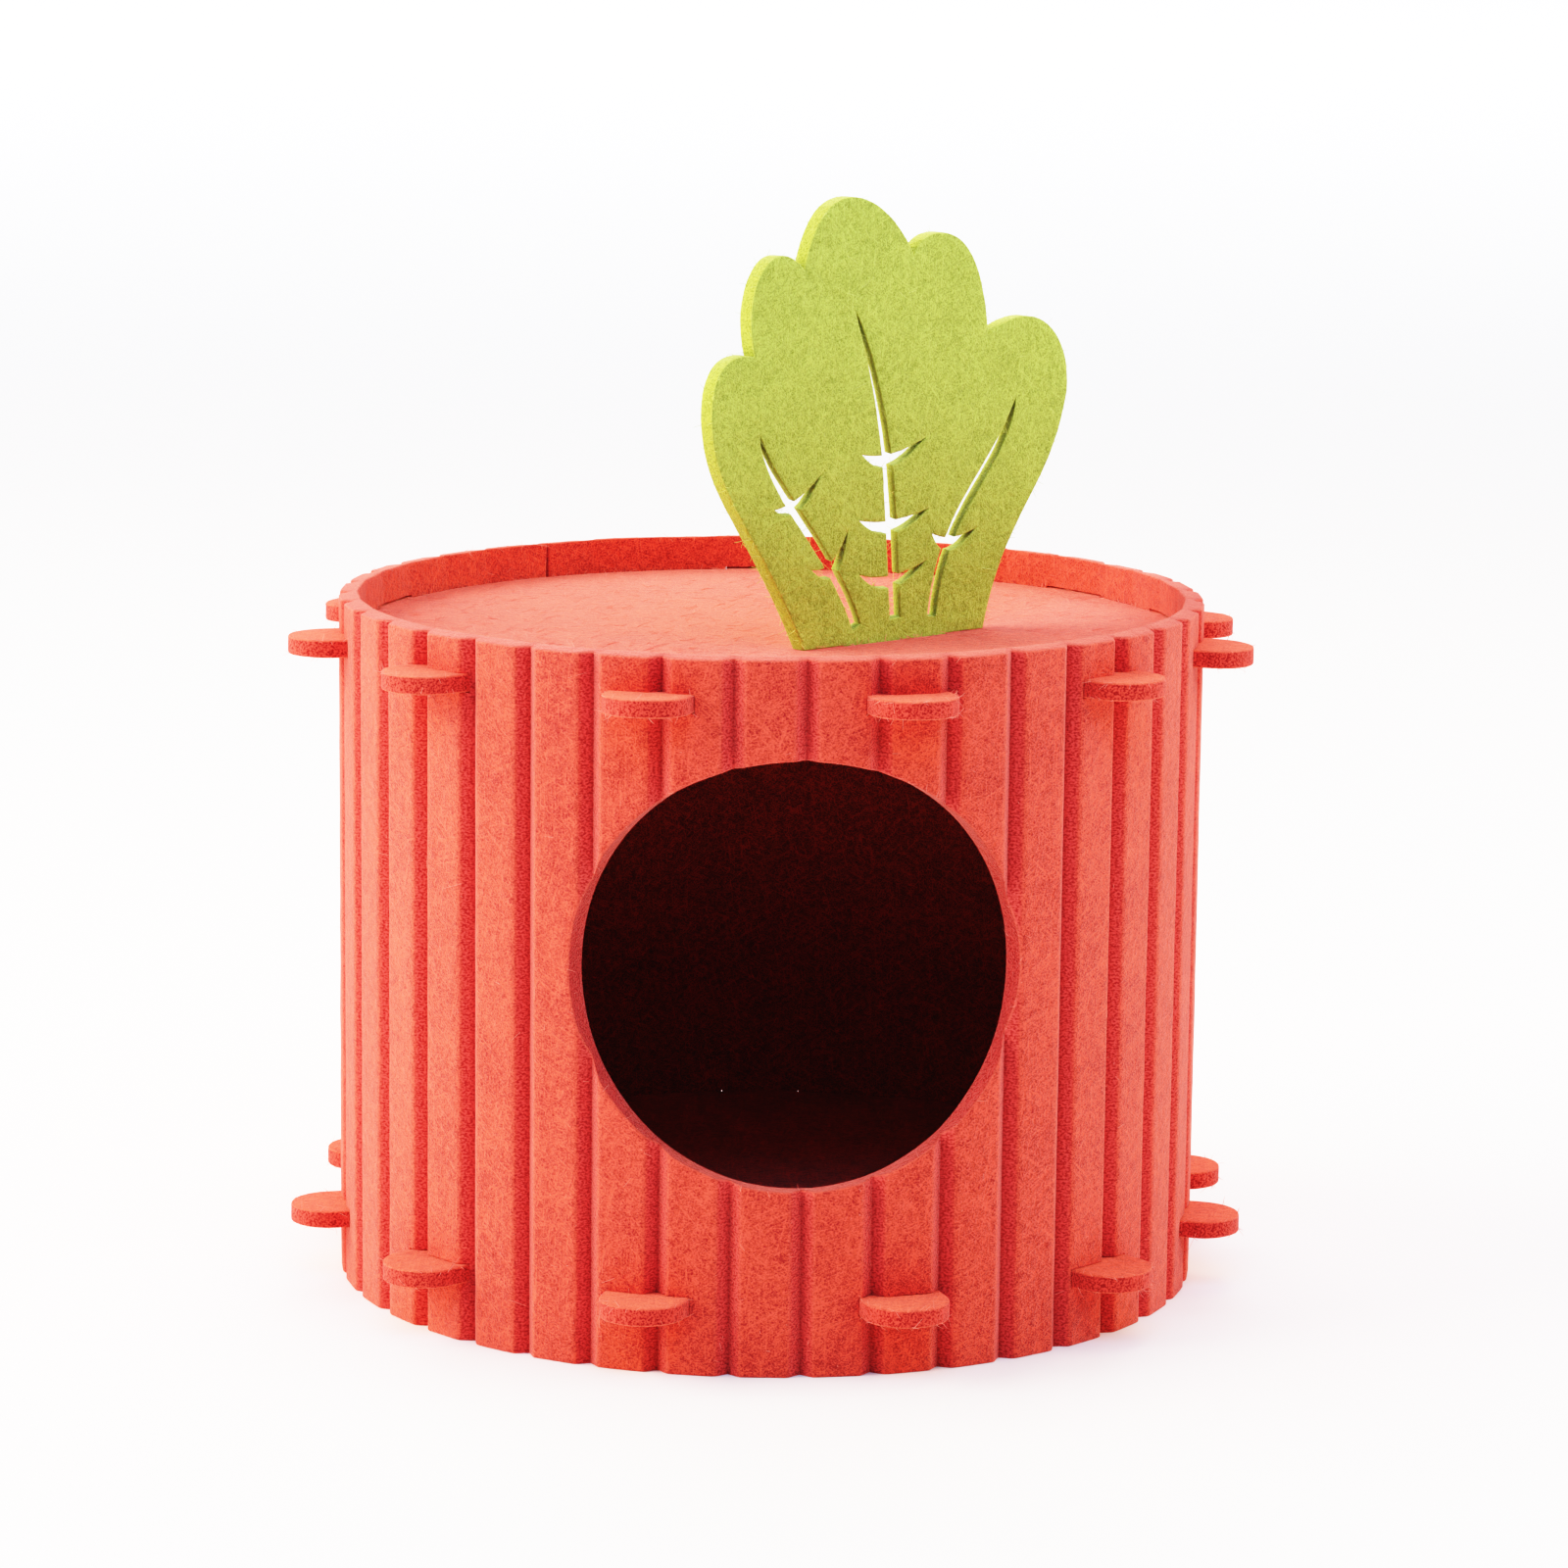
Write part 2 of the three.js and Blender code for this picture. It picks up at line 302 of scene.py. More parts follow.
score(strip, 2, sorted(rows))
report("scored strip", strip)


# %% Read the flat strip's points
def points_of(mesh):
    flat = np.empty(len(mesh.vertices) * 3, np.float32)
    mesh.vertices.foreach_get("co", flat)
    return flat.reshape(-1, 3).astype(float)


def move_points(mesh, places):
    mesh.vertices.foreach_set("co", places.astype(np.float32).ravel())
    mesh.update()


wall = as_object("felt_wall", strip)
flat = points_of(wall.data)
print("flat strip, mm:", (flat.min(0) / MM).round(1), (flat.max(0) / MM).round(1))

# %% [markdown]
# ## Rolling the strip
#
# Each point of the flat strip turns into an angle, a distance from the axis and a height. The inside of each
# rib stays a flat plate, as in the real felt, which bends only at its grooves. The V's lips and its bottom
# are rounded a little, because felt holds no sharp edge, and slow random waves keep the faces from looking
# machined. The strip's ends close towards the rim, where the seam is narrower in the photograph.


# %% Make smooth random waves
def waves(points, size, seed):
    """Smooth random numbers from -1 to 1 over the points, about one wave in each size."""
    shift = Vector((seed * 7.31, seed * 3.77, seed * 5.13))
    return np.array([noise.noise(Vector(p) / size + shift) for p in points])


unevenness = waves(flat, 9 * MM, 2) * 0.12 * MM + waves(flat, 3 * MM, 3) * 0.06 * MM
print("the felt's faces wave by up to, mm:", round(float(np.abs(unevenness).max() / MM), 2))

# %% Find how far from the axis each point lies
BOTTOM_ROUND = 0.25 * MM
LIP_ROUND = 0.6 * MM

angle = np.degrees(flat[:, 0] / WALL_INSIDE)
beside_rib = (angle - RIB_BY_THE_DOOR + RIB_PITCH / 2) % RIB_PITCH - RIB_PITCH / 2
rib_half = RIB_PITCH / 2 - math.degrees(GROOVE_HALF / WALL_RADIUS)
inside = WALL_INSIDE / np.cos(np.radians(beside_rib))
crest = WALL_RADIUS * math.cos(math.radians(rib_half)) / np.cos(np.radians(beside_rib))
crest = np.minimum(crest, WALL_RADIUS)
from_groove = np.radians(RIB_PITCH / 2 - np.abs(beside_rib)) * WALL_RADIUS
from_groove = np.hypot(from_groove, BOTTOM_ROUND)
cut_in = GROOVE_DEPTH * (1 - from_groove / GROOVE_HALF)
groove = (cut_in + np.hypot(cut_in, LIP_ROUND)) / 2
depth = flat[:, 1] / WALL_FELT
radius = inside + depth * (crest - groove - inside) + unevenness
print("distance from the axis, mm:", round(radius.min() / MM, 1), "to", round(radius.max() / MM, 1))

# %% Roll the strip into a drum
RIM_SLOPE = 0.7 * MM  # the top cut is this much lower at the ribs than inside
RIM_LEVEL = 0.7  # the share of the felt's depth at which the slope keeps the height
CLOSING_FROM = 184 * MM  # the height above which the seam's ends draw together
CLOSING_REACH = 14 * MM  # how far along the strip this is felt

height = flat[:, 2].copy()
lift = (height / WALL_HEIGHT) ** 8
height += lift * (waves(flat, 24 * MM, 4) * 0.25 * MM + (RIM_LEVEL - depth) * RIM_SLOPE)
towards_seam = np.minimum(flat[:, 0] - STRIP_START, STRIP_END - flat[:, 0])
closing = np.clip((height - CLOSING_FROM) / (WALL_HEIGHT - CLOSING_FROM), 0, 1) * (SEAM_GAP / 2 - 0.2 * MM)
side = np.where(flat[:, 0] - STRIP_START < STRIP_END - flat[:, 0], -1, 1)
turned = np.radians(angle) + side * closing * np.exp(-towards_seam / CLOSING_REACH) / WALL_RADIUS
rolled = np.stack([radius * np.sin(turned), -radius * np.cos(turned), height], 1)
move_points(wall.data, rolled)
print("wall, mm:", (rolled.min(0) / MM).round(1), (rolled.max(0) / MM).round(1))

# %% [markdown]
# ## Where the felt is cut
#
# Felt looks different where it was cut: there the fibres' ends show. So the shader has to know which points
# lie on a cut, and three shares are kept on the mesh beside the place in the flat sheet. The corners' share
# also places a painted highlight, and the third share is painted shade. They could be painted by hand or
# guessed from how the faces turn, but the flat sheet's own depth gives them exactly.


# %% Keep the flat place, the cut faces and the painted shade on a mesh
def keep_felt_place(mesh, place, cut, arris, painted_shade):
    """Keeps four things at each point for the material.

    felt_place is the place in the flat sheet: along it, up it, and the depth. cut is 1 on cut surfaces and
    0 on the sheet's faces. arris is 1 along the corners between them, where the material paints a highlight.
    The last share is painted shade: the material darkens the felt by it, most at the bottom of a narrow cut.
    """
    mesh.attributes.new("felt_place", "FLOAT_VECTOR", "POINT").data.foreach_set(
        "vector", place.astype(np.float32).ravel()
    )
    for name, values in (("cut", cut), ("arris", arris), ("painted_shade", painted_shade)):
        mesh.attributes.new(name, "FLOAT", "POINT").data.foreach_set("value", values.astype(np.float32))


def cut_share(depth, felt, arris):
    """How far a point is over the arris: 0 on the sheet's faces and 1 on the cut edge."""
    return np.clip(np.minimum(depth, felt - depth) / arris, 0, 1)


edge_cut = cut_share(flat[:, 1], WALL_FELT, ARRIS)
print("share of the wall's points on its cut edges:", round(float((edge_cut > 0.5).mean()), 3))

# %% Say which of the wall's felt is cut, and where shade is painted on it
# Across a groove's lip the face turns into cut felt over 1.2 mm, with a weak arris 0.4 mm to each side that
# gets a fainter painted highlight. Only the last of the V gets painted shade: the sixth power keeps it
# at its bottom.
into_groove = crest_edge - from_groove * WALL_INSIDE / WALL_RADIUS
outside = flat[:, 1] > WALL_FELT * 0.9
groove_cut = np.where(outside, np.clip((into_groove + 0.2 * MM) / (1.2 * MM), 0, 1), 0)
crest_arris = np.where(outside, np.clip(1 - np.abs(into_groove) / (0.4 * MM), 0, 1) * 0.35, 0)
arris = np.maximum(4 * edge_cut * (1 - edge_cut), crest_arris)
painted_shade = np.where(outside, np.clip(into_groove / crest_edge, 0, 1) ** 6 * 0.5, 0)
from_door = np.hypot(flat[:, 0] / (DOOR_WIDTH / 2), (flat[:, 2] - DOOR_MIDDLE) / (DOOR_HEIGHT / 2))
# The door's cut face gets painted shade instead.
painted_shade = np.where(from_door < 1.04, 0.3 * edge_cut, painted_shade)  # the door's cut face lies in its own shade
keep_felt_place(wall.data, flat[:, [0, 2, 1]], np.maximum(edge_cut, groove_cut), arris, painted_shade)
print("share of the wall's points in its grooves:", round(float((groove_cut > 0.5).mean()), 3))

# %% [markdown]
# ## The discs
#
# The lid and the floor are punched from 5 mm felt: a round disc and eleven tabs with round ends. A disc and
# its tabs are joined with a Boolean, then both faces' edges are rounded, and the disc is scored into a grid
# so that it can be given the slight waves of a real felt sheet.

# %% Punch a disc with its tabs
DISC_RADIUS = WALL_INSIDE - 0.5 * MM
TAB_REACH = 15 * MM  # how far a tab stands out of the ribs
TAB_TIP = 11.5 * MM  # how much of its end is rounded
TAB_TIP_START = WALL_RADIUS + TAB_REACH - TAB_TIP
TAB_ROOT = DISC_RADIUS - 8 * MM  # inside the disc, so that the two overlap


def tab(angle):
    """One tab: a flat oval whose inner half is drawn back into the disc."""
    bm = bmesh.new()
    bmesh.ops.create_circle(bm, cap_ends=True, segments=48, radius=1)
    bmesh.ops.scale(bm, vec=(TAB_TIP, TAB_WIDTH / 2, 1), verts=bm.verts)
    half = {"dist": 1e-7, "plane_co": (0, 0, 0), "plane_no": (1, 0, 0), "clear_inner": True}
    cut = bmesh.ops.bisect_plane(bm, geom=bm.verts[:] + bm.edges[:] + bm.faces[:], **half)["geom_cut"]
    back = [e for e in cut if isinstance(e, bmesh.types.BMEdge)]
    drawn = bmesh.ops.extrude_edge_only(bm, edges=back)["geom"]
    inner = [v for v in drawn if isinstance(v, bmesh.types.BMVert)]
    bmesh.ops.translate(bm, vec=(TAB_ROOT - TAB_TIP_START, 0, 0), verts=inner)
    thicken(bm, bm.faces[:], (0, 0, DISC_FELT))
    bmesh.ops.recalc_face_normals(bm, faces=bm.faces)
    place = Matrix.Rotation(math.radians(angle - 90), 4, "Z") @ Matrix.Translation((TAB_TIP_START, 0, 0))
    bmesh.ops.transform(bm, matrix=place, verts=bm.verts)
    return bm


def round_disc():
    bm = bmesh.new()
    middle = Matrix.Translation((0, 0, DISC_FELT / 2))
    size = {"radius1": DISC_RADIUS, "radius2": DISC_RADIUS, "depth": DISC_FELT}
    bmesh.ops.create_cone(bm, cap_ends=True, segments=ROUND_SIDES, matrix=middle, **size)
    return combine(bm, [tab(angle) for angle in TAB_ANGLES], "UNION")


lid_bm = round_disc()
floor_bm = round_disc()
report("floor", floor_bm)

# %% Cut the leaf's slot into the lid
LEAF_FELT = 5 * MM
LEAF_FOOT = Vector((33.65 * MM, -24.8 * MM, LID_TOP + 0.03 * MM))
LEAF_TURN = math.radians(37.2)
TONGUE_WIDTH = 40 * MM
TONGUE_ROOM = 0.3 * MM  # on each side

long_side, short_side = TONGUE_WIDTH + 2 * TONGUE_ROOM, LEAF_FELT + 2 * TONGUE_ROOM
slot_size = Matrix.Diagonal((long_side, short_side, 3 * DISC_FELT, 1))
slot_place = Matrix.Translation((LEAF_FOOT.x, LEAF_FOOT.y, DISC_FELT / 2))
slot_place = slot_place @ Matrix.Rotation(LEAF_TURN, 4, "Z") @ Matrix.Translation((0, LEAF_FELT / 2, 0))
leaf_slot = bmesh.new()
bmesh.ops.create_cube(leaf_slot, size=1, matrix=slot_place @ slot_size)
lid_bm = combine(lid_bm, [leaf_slot], "DIFFERENCE")
report("lid", lid_bm)


# %% Give a disc its waves
TAB_HALF_ANGLE = 8  # degrees, a little more than half a tab
LIFT_REACH = 21 * MM  # from the wall's inside to the tip


def disc_shape(place, underside, lifts, seed):
    """The disc's points with the sheet's waves, and with each tab lifted or drooping at its tip.

    The waves fade towards the rim, which the slots hold, and around the leaf's foot, which must sit close.
    """
    moved = place + (0, 0, underside)
    out = np.hypot(place[:, 0], place[:, 1])
    near_rim = np.clip((out - 108 * MM) / (12 * MM), 0, 1)
    calm = np.clip(np.hypot(place[:, 0] - LEAF_FOOT.x, place[:, 1] - LEAF_FOOT.y) / (30 * MM) - 1.2, 0, 1)
    moved[:, 2] += waves(place * (1, 1, 0), 30 * MM, seed) * 0.25 * MM * (1 - near_rim) * calm
    moved[:, 2] += waves(place, 8 * MM, seed + 1) * 0.08 * MM * calm
    sideways = waves(place, 5 * MM, seed + 2) * 0.1 * MM
    moved[:, :2] *= (1 + sideways / np.maximum(out, 1 * MM))[:, None]
    bearing = np.degrees(np.arctan2(place[:, 0], -place[:, 1]))
    for angle, lift in lifts.items():
        off = np.abs((bearing - angle + 180) % 360 - 180)
        reach = np.clip((out - WALL_INSIDE) / LIFT_REACH, 0, 1)
        moved[:, 2] += np.where(off < TAB_HALF_ANGLE, lift * MM * reach, 0)
    return moved


# The tips' lifts in mm, by the tab's angle. The tabs that aren't named here stay level.
LID_LIFTS = {-113.7: -0.5, -83.7: -0.2, -19: 0.5, 13.5: 0.5, 75: -0.5, 99.9: -0.5}
FLOOR_LIFTS = {-83.7: -0.3, -51.7: -0.3, -19: 0.2, 44.8: -0.2, 75: -0.4}
print(len(LID_LIFTS), "tabs of the lid and", len(FLOOR_LIFTS), "of the floor leave the level")


# %% Finish the discs
GRID = 5 * MM


def finish_disc(name, bm, underside, lifts, seed):
    """Rounds the edges, scores a grid, shapes the disc and lifts it to its height."""
    round_arrises(bm, lambda edge: in_a_face(edge, 2, DISC_FELT), ARRIS)
    grid = [i * GRID for i in range(-27, 28)]
    score(bm, 2, [DISC_FELT / 3, DISC_FELT * 2 / 3])
    score(bm, 0, grid)
    score(bm, 1, grid)
    piece = as_object(name, bm)
    place = points_of(piece.data)
    move_points(piece.data, disc_shape(place, underside, lifts, seed))
    cut = cut_share(place[:, 2], DISC_FELT, ARRIS)
    keep_felt_place(piece.data, place, cut, 4 * cut * (1 - cut), np.zeros(len(place)))
    print(f"{name}: {len(piece.data.polygons)} faces")
    return piece


lid = finish_disc("felt_lid", lid_bm, LID_TOP - DISC_FELT, LID_LIFTS, 5)
floor = finish_disc("felt_floor", floor_bm, FLOOR_TOP - DISC_FELT, FLOOR_LIFTS, 9)

# %% [markdown]
# ## The leaf
#
# The leaf is cut from 5 mm green felt: an outline of lobes with a tongue under its foot, and veins cut right
# through. The blade leans as it cuts, so each vein's walls slant. x runs along the leaf's foot and z is up;
# y is the depth, with the front face at 0.

# %% Draw the leaf's outline
FOOT_HALF = 34.6
OUTLINE = [  # pull 1 x, z; pull 2 x, z; end x, z, in mm
    (-54, 39, -68, 44, -69.6, 67),
    (-70, 86, -58, 85, -54, 84),
    (-58, 99, -52, 112, -44, 111.5),
    (-41, 111.5, -38, 109.5, -36, 107.5),
    (-33, 119, -28, 126.7, -18.5, 126.7),
    (-8, 126.7, 1, 117, 5, 109.8),
    (6.5, 113, 10, 115.4, 15, 115.4),
    (26, 115.4, 32.6, 105, 34.9, 85.4),
    (54, 97, 68, 84, 66.6, 67),
    (61, 38, 42, 33, FOOT_HALF, 0),
]


def curve(start, pull1, pull2, end, steps):
    """Points along a curve in the leaf's face, without its last point."""
    corners = [Vector((x * MM, 0, z * MM)) for x, z in (start, pull1, pull2, end)]
    return geometry.interpolate_bezier(*corners, steps + 1)[:-1]


outline, last = [], (-FOOT_HALF, 0)
for x1, z1, x2, z2, x, z in OUTLINE:
    outline += curve(last, (x1, z1), (x2, z2), (x, z), 20)
    last = (x, z)
TONGUE_END = -(DISC_FELT + 0.3 * MM)
tongue = [(FOOT_HALF * MM, 0), (TONGUE_WIDTH / 2, 0), (TONGUE_WIDTH / 2, TONGUE_END)]
tongue += [(-TONGUE_WIDTH / 2, TONGUE_END), (-TONGUE_WIDTH / 2, 0)]
outline += [Vector((x, 0, z)) for x, z in tongue]
leaf_bm = prism(outline, (0, LEAF_FELT, 0))
report("leaf blank", leaf_bm)

# %% List the veins
VEINS = [  # foot, two pulls and top in mm, the full width, and the share of the length that has it
    ((0, 6.2), (-1.5, 24), (-1, 62), (-16.5, 94.3), 3.9, 0.45),
    ((-14.8, 5), (-25, 29), (-47, 44.5), (-51.7, 61.6), 3.2, 0.6),
    ((14.1, 5.4), (17, 36.5), (40, 45.5), (46.1, 66.1), 3.1, 0.7),
]
SIDE_VEINS = [  # tip, tip, and the pulls of the lower and upper curve, in mm
    ((-13.3, 53.9), (10.3, 57), (-4.5, 44.3), (-3, 51.5)),
    ((-13.8, 35.1), (12, 36.5), (-3, 25.6), (-3, 32.8)),
    ((-13.6, 19.6), (11.1, 21.4), (-3.2, 9.6), (-3, 16.4)),
    ((-46.1, 40.7), (-29.4, 48.9), (-37.5, 34.8), (-38, 41.4)),
    ((-31.9, 22.6), (-18.5, 32.6), (-21.8, 13.6), (-24, 21)),
    ((14, 29.6), (30.7, 29.5), (18.5, 18.3), (20.5, 25.8)),
]
CUT_SLANT = math.radians(21)
print(f"{len(VEINS)} long veins and {len(SIDE_VEINS)} side veins")


# %% Draw a vein's outline
def vein_outline(foot, pull1, pull2, top, width, full, steps=28):
    middle = curve(foot, pull1, pull2, top, steps)
    ends = [middle[1] - middle[0]] + [b - a for a, b in zip(middle, middle[2:])] + [middle[-1] - middle[-2]]
    left, right = [], []
    for i, (point, along) in enumerate(zip(middle, ends)):
        half = width * MM / 2 * min(1, (1 - i / steps) / (1 - full)) ** 0.5
        aside = Vector((along.z, 0, -along.x)).normalized() * half
        right.append(point + aside)
        left.append(point - aside)
    return right + [Vector((top[0] * MM, 0, top[1] * MM))] + left[::-1]


def pull_both(a, pull, b):
    """The two pull points that draw a curve with one pull point."""
    return [tuple(p + (q - p) * 2 / 3 for p, q in zip(end, pull)) for end in (a, b)]


def side_vein_outline(start, end, low, high):
    there, back = pull_both(start, low, end), pull_both(end, high, start)
    return curve(start, *there, end, 18) + curve(end, *back, start, 18)


vein_outlines = [vein_outline(*v) for v in VEINS] + [side_vein_outline(*v) for v in SIDE_VEINS]
print(sum(len(points) for points in vein_outlines), "points around the veins")


# %% Cut the veins
CUT_SLANT = math.radians(21)


def slanted(outline):
    """A cutter through the leaf that leans to the right as it goes back."""
    bm = prism([p + Vector((0, -LEAF_FELT, 0)) for p in outline], (0, 3 * LEAF_FELT, 0))
    for v in bm.verts:
        v.co.x += v.co.y * math.tan(CUT_SLANT)
    return bm


leaf_bm = combine(leaf_bm, [slanted(points) for points in vein_outlines], "DIFFERENCE")
report("leaf with its veins", leaf_bm)

# %% Round and score the leaf
LEAF_ARRIS = 0.4 * MM
round_arrises(leaf_bm, lambda edge: in_a_face(edge, 1, LEAF_FELT), LEAF_ARRIS)
score(leaf_bm, 1, [LEAF_FELT / 3, LEAF_FELT * 2 / 3])
score(leaf_bm, 0, [i * 4 * MM for i in range(-18, 19)])
score(leaf_bm, 2, [i * 4 * MM for i in range(0, 33)])
report("scored leaf", leaf_bm)

# %% Stand the leaf on the lid
leaf = as_object("felt_leaf", leaf_bm)
place = points_of(leaf.data)
above_foot = np.clip(place[:, 2] / (20 * MM), 0, 1)  # the foot and the tongue stay straight
moved = place.copy()
moved[:, 1] += waves(place * (1, 0, 1), 40 * MM, 13) * 0.5 * MM * above_foot
moved += np.stack([waves(place, 5 * MM, 14 + i) for i in range(3)], 1) * 0.08 * MM * above_foot[:, None]
stand = Matrix.Rotation(LEAF_TURN, 3, "Z")
moved = moved @ np.array(stand).T + np.array(LEAF_FOOT)
move_points(leaf.data, moved)
print("leaf, mm:", (moved.min(0) / MM).round(1), (moved.max(0) / MM).round(1))

# %% Say which of the leaf's felt is cut, and where shade is painted on it
cut = cut_share(place[:, 1], LEAF_FELT, LEAF_ARRIS)
rim = np.array([(p.x, p.z) for p in outline])
from_rim = np.array([np.hypot(*(rim - p).T).min() for p in place[:, [0, 2]]])
in_vein = np.clip((from_rim - 2 * MM) / (1 * MM), 0, 1) * np.clip(place[:, 2] / MM, 0, 1)
near_lid = np.clip(1 - place[:, 2] / (80 * MM), 0, 1)
# Painted shade on the veins' cut walls, and on the outer cut edge, growing towards the lid.
painted_shade = cut * (in_vein * 0.3 + (1 - in_vein) * near_lid * 0.4)
keep_felt_place(leaf.data, place[:, [0, 2, 1]], cut, 4 * cut * (1 - cut), painted_shade)
print("share of the leaf's points in its veins:", round(float((in_vein * cut > 0.5).mean()), 3))

# %% Shade the felt smoothly
SHARP_FROM = 48  # degrees; rounded arrises turn less than this at each of their edges
for piece in (wall, lid, floor, leaf):
    piece.data.shade_smooth()
    piece.data.set_sharp_from_angle(angle=math.radians(SHARP_FROM))
    print(piece.name, "is smooth over", len(piece.data.polygons), "faces")

# %% [markdown]
# ## Stray fibres
#
# Single fibres stand out of the felt, most of all along the cut edges, where the needles didn't hold them.
# They catch the light and make the outline soft. Hair curves would do, but they aren't closed solids, so one
# fibre is drawn as a thin prism with three sides, and copied to random places on each piece. The lid's open
# top gets more of them, because there they lie across a grazing view and are its main texture.

# %% Draw one fibre
FIBRE_THICK = 0.16 * MM  # a real fibre is 0.03 mm, too fine to show
FIBRE_BEND = 0.3 * MM

fibre_bm = bmesh.new()
thick = {"radius1": FIBRE_THICK / 2, "radius2": FIBRE_THICK / 4}
bmesh.ops.create_cone(fibre_bm, cap_ends=True, segments=3, depth=MM, **thick)
long_edges = [e for e in fibre_bm.edges if abs(e.verts[0].co.z - e.verts[1].co.z) > 0.5 * MM]
bmesh.ops.subdivide_edges(fibre_bm, edges=long_edges, cuts=2, use_grid_fill=True)
bmesh.ops.translate(fibre_bm, vec=(0, 0, MM / 2), verts=fibre_bm.verts)
for v in fibre_bm.verts:
    v.co.x += FIBRE_BEND * (v.co.z / MM) ** 2
report("one fibre", fibre_bm)
fibre_mesh = bpy.data.meshes.new("one_fibre")
fibre_bm.to_mesh(fibre_mesh)
fibre_bm.free()


# %% Place one fibre
FIBRE_ROOT = 0.08 * MM  # how deep it starts in the felt


def corners_of(mesh, face):
    """The face's corners, ordered by where they are. A Boolean may number them otherwise in each run."""
    return sorted(tuple(mesh.vertices[i].co) for i in face.vertices)


def fibre_on(mesh, face, on_arris, rng):
    """One fibre's mesh, rooted in the face. On an arris it is short and stands up, elsewhere it lies."""
    corners = corners_of(mesh, face)
    corner = Vector(corners[rng.integers(len(corners))])
    root = face.center.lerp(corner, rng.random()) - face.normal * FIBRE_ROOT
    lift = math.radians(rng.uniform(15, 75) if on_arris else rng.uniform(4, 20))
    length = rng.uniform(0.8, 2.8) if on_arris else rng.uniform(2, 6)  # mm
    aside = face.normal.cross(Vector(rng.normal(size=3))).normalized()
    out = aside * math.cos(lift) + face.normal * math.sin(lift)
    down = aside * math.sin(lift) - face.normal * math.cos(lift)
    turn = Matrix((down, out.cross(down), out)).transposed().to_4x4()
    fibre = fibre_mesh.copy()
    fibre.transform(Matrix.Translation(root) @ turn @ Matrix.Diagonal((1, 1, length, 1)))
    return fibre


print("one fibre has", len(fibre_mesh.polygons), "faces")


# %% Scatter fibres over the felt
FACE_SHARE = 0.15
ARRIS_SHARE = 30  # how much more readily fibres stand on an arris
ON_ARRIS = 0.3


def scatter_fibres(bm, piece, count, shown, seed):
    """Adds fibres to bm, most of them on the piece's arrises. shown says which faces may carry one."""
    rng = np.random.default_rng(seed)
    mesh = piece.data
    edge = np.array([a.value for a in mesh.attributes["arris"].data])
    faces = sorted(mesh.polygons, key=lambda face: corners_of(mesh, face))
    arris = [max(edge[i] for i in face.vertices) for face in faces]
    share = [f.area * (FACE_SHARE + ARRIS_SHARE * a**2) * shown(f) for f, a in zip(faces, arris)]
    share = np.array(share) / sum(share)
    for index in rng.choice(len(share), count, p=share):
        fibre = fibre_on(mesh, faces[index], arris[index] > ON_ARRIS, rng)
        bm.from_mesh(fibre)
        bpy.data.meshes.remove(fibre)


def outside_drum(face):
    """Whether a fibre here can be seen from outside: not in the cabin, and not under the foot."""
    place = face.center
    return place.z > 4 * MM and (place.xy.length > WALL_INSIDE + 1 * MM or place.z > LID_TOP - 1 * MM)


def on_lid_top(face):
    """Whether a fibre here lies on the lid's open top."""
    return face.normal.z > 0.9 and face.center.xy.length < WALL_INSIDE - 1 * MM


coral_bm = bmesh.new()
scatter_fibres(coral_bm, wall, 2600, outside_drum, 21)
scatter_fibres(coral_bm, lid, 700, outside_drum, 22)
scatter_fibres(coral_bm, floor, 350, outside_drum, 23)
scatter_fibres(coral_bm, lid, 2500, on_lid_top, 25)
report("coral fibres", coral_bm)
coral_fibres = as_object("stray_fibres_coral", coral_bm)

# %% Scatter fibres over the leaf
green_bm = bmesh.new()
scatter_fibres(green_bm, leaf, 700, lambda face: face.center.z > LID_TOP + MM, 24)
report("green fibres", green_bm)
green_fibres = as_object("stray_fibres_green", green_bm)

# %% [markdown]
# ## Needled felt
#
# Thick craft felt is a mat of short fibres that barbed needles have punched together. On its faces the top
# fibres lie flat: they show as fine light strokes in all directions, with small dark flecks where a needle
# left a pit, and the mat is a little lumpy from clumps of fibre. Where the felt was cut, the fibres' ends
# show instead, as a deeper colour with a coarse stipple. Loose fibres stand up everywhere and catch light at
# a grazing angle, so the shader needs a strong sheen and hardly any gloss. The pattern could be painted as an
# image, but noise on the flat sheet's own coordinates has no seams, and it bends with the strip.


# %% Colours and nodes
def linear(hex_colour):
    """An sRGB hex colour as linear RGBA."""
    parts = [int(hex_colour[i : i + 2], 16) / 255 for i in (1, 3, 5)]
    return tuple(c / 12.92 if c <= 0.04045 else ((c + 0.055) / 1.055) ** 2.4 for c in parts) + (1.0,)


def add(tree, kind, settings, links):
    """Adds a node. Each of links is an input's name or number with a value or another node's output."""
    node = tree.nodes.new(kind)
    for key, value in settings.items():
        setattr(node, key, value)
    for key, value in links.items():
        if isinstance(value, bpy.types.NodeSocket):
            tree.links.new(value, node.inputs[key])
        else:
            node.inputs[key].default_value = value
    return node


print("coral felt in linear colour:", [round(c, 3) for c in linear("#DF594B")])

# %% Lay fibres on the felt's faces
FIBRE_LONG = 3.2 * MM
FIBRE_WIDE = 0.29 * MM  # strokes come out half this wide; a real fibre is 0.03 mm, too fine to show
FIBRE_TURNS = (8, 35, 64, 97, 128, 159)  # degrees
FLAT = {"noise_dimensions": "2D"}
SCALE = {"operation": "SCALE"}
TEXTURE = {"vector_type": "TEXTURE"}
PEAK_SOFT = 0.1  # how much noise lies between no stroke and a full one


